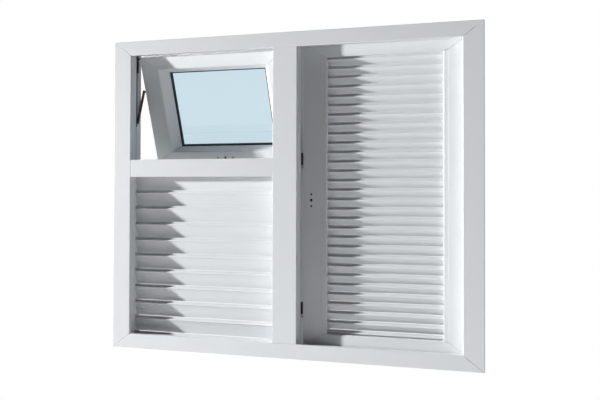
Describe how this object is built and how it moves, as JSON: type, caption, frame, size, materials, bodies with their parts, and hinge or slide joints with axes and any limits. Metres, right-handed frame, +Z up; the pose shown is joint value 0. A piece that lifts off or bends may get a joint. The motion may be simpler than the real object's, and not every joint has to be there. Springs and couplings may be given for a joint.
{
  "type": "louvred window",
  "caption": "Framed window unit with a tilted top-hung glass vent over a fixed louvre, beside a side-hung louvred casement.",
  "frame": {"origin": "centre of the underside of the frame's sill", "axes": "+X along the width, +Y outdoors, +Z up; the room is on the -Y side"},
  "size_m": [1.468, 0.2572, 1.2],
  "materials": {
    "white_powder_coat": "smooth semi-gloss powder coat",
    "black_rubber": "matt",
    "clear_glass": "clear float glass",
    "stainless_steel": "brushed",
    "black_steel": "black passivated, satin",
    "mill_aluminium": "mill"
  },
  "bodies": {
    "frame": {"casement_frame_gasket": "black_rubber", "fixed_blade_01": "white_powder_coat", "fixed_blade_02": "white_powder_coat", "fixed_blade_03": "white_powder_coat", "fixed_blade_04": "white_powder_coat", "fixed_blade_05": "white_powder_coat", "fixed_blade_06": "white_powder_coat", "fixed_blade_07": "white_powder_coat", "fixed_blade_08": "white_powder_coat", "fixed_blade_09": "white_powder_coat", "fixed_blade_10": "white_powder_coat", "fixed_louvre_side_left": "white_powder_coat", "fixed_louvre_side_right": "white_powder_coat", "fixed_louvre_sill_strip": "white_powder_coat", "frame_head": "white_powder_coat", "frame_jamb_left": "white_powder_coat", "frame_jamb_right": "white_powder_coat", "frame_sill": "white_powder_coat", "hinge_frame_leaves": "white_powder_coat", "hinge_pins": "stainless_steel", "lock_keepers": "black_steel", "mullion": "white_powder_coat", "stay_tracks": "black_steel", "transom": "white_powder_coat", "trim_head": "white_powder_coat", "trim_jamb_left": "white_powder_coat", "trim_jamb_right": "white_powder_coat", "trim_sill": "white_powder_coat", "vent_frame_gasket": "black_rubber"},
    "casement": {"casement_bead_bottom": "white_powder_coat", "casement_bead_left": "white_powder_coat", "casement_bead_right": "white_powder_coat", "casement_bead_top": "white_powder_coat", "casement_bottom_rail": "white_powder_coat", "casement_corner_cleats": "mill_aluminium", "casement_hinge_stile": "white_powder_coat", "casement_lock_case": "black_steel", "casement_lock_stile": "white_powder_coat", "casement_louvre": "white_powder_coat", "casement_top_rail": "white_powder_coat", "hinge_sash_leaves": "white_powder_coat"},
    "lock_bar": {"casement_lock_bar": "stainless_steel"},
    "vent": {"stay_sash_bar_left": "black_steel", "stay_sash_bar_right": "black_steel", "vent_bead_bottom": "white_powder_coat", "vent_bead_left": "white_powder_coat", "vent_bead_right": "white_powder_coat", "vent_bead_top": "white_powder_coat", "vent_bottom_rail": "white_powder_coat", "vent_corner_cleats": "mill_aluminium", "vent_glass": "clear_glass", "vent_glass_gasket": "black_rubber", "vent_stile_left": "white_powder_coat", "vent_stile_right": "white_powder_coat", "vent_top_rail": "white_powder_coat"},
    "stay_link_left": {"stay_link_left": "black_steel"},
    "stay_link_right": {"stay_link_right": "black_steel"},
    "stay_shoe_left": {"stay_shoe_left": "black_steel"},
    "stay_shoe_right": {"stay_shoe_right": "black_steel"}
  },
  "joints": [
    {"name": "casement_hinge", "type": "hinge", "parent": "frame", "child": "casement", "pos_m": [0.673, 0.06, 0.57], "axis": [0, 0, -1], "range_deg": [0, 90]},
    {"name": "lock_slide", "type": "slide", "parent": "casement", "child": "lock_bar", "axis": [0, 0, 1], "range_m": [0, 0.02]},
    {"name": "stay_foot_left", "type": "hinge", "parent": "frame", "child": "stay_link_left", "pos_m": [-0.6655, 0.012, 0.862], "axis": [-1, 0, 0], "range_deg": [-20, 15]},
    {"name": "vent_elbow", "type": "hinge", "parent": "stay_link_left", "child": "vent", "pos_m": [-0.6655, 0.058, 0.98839], "axis": [1, 0, 0], "range_deg": [-40, 30]},
    {"name": "stay_shoe_pivot_left", "type": "hinge", "parent": "vent", "child": "stay_shoe_left", "pos_m": [-0.6655, 0.012, 1.11478], "axis": [-1, 0, 0], "range_deg": [-20, 15]},
    {"name": "stay_shoe_pivot_right", "type": "hinge", "parent": "vent", "child": "stay_shoe_right", "pos_m": [-0.0215, 0.012, 1.11478], "axis": [-1, 0, 0], "range_deg": [-20, 15]},
    {"name": "stay_foot_right", "type": "hinge", "parent": "frame", "child": "stay_link_right", "pos_m": [-0.0215, 0.012, 0.862], "axis": [-1, 0, 0], "range_deg": [-20, 15]}
  ],
  "couplings": [
    {"joint": "stay_foot_left", "follows": "vent_elbow", "ratio": 0.5},
    {"joint": "stay_shoe_pivot_left", "follows": "vent_elbow", "ratio": 0.5},
    {"joint": "stay_shoe_pivot_right", "follows": "vent_elbow", "ratio": 0.5},
    {"joint": "stay_foot_right", "follows": "vent_elbow", "ratio": 0.5}
  ]
}
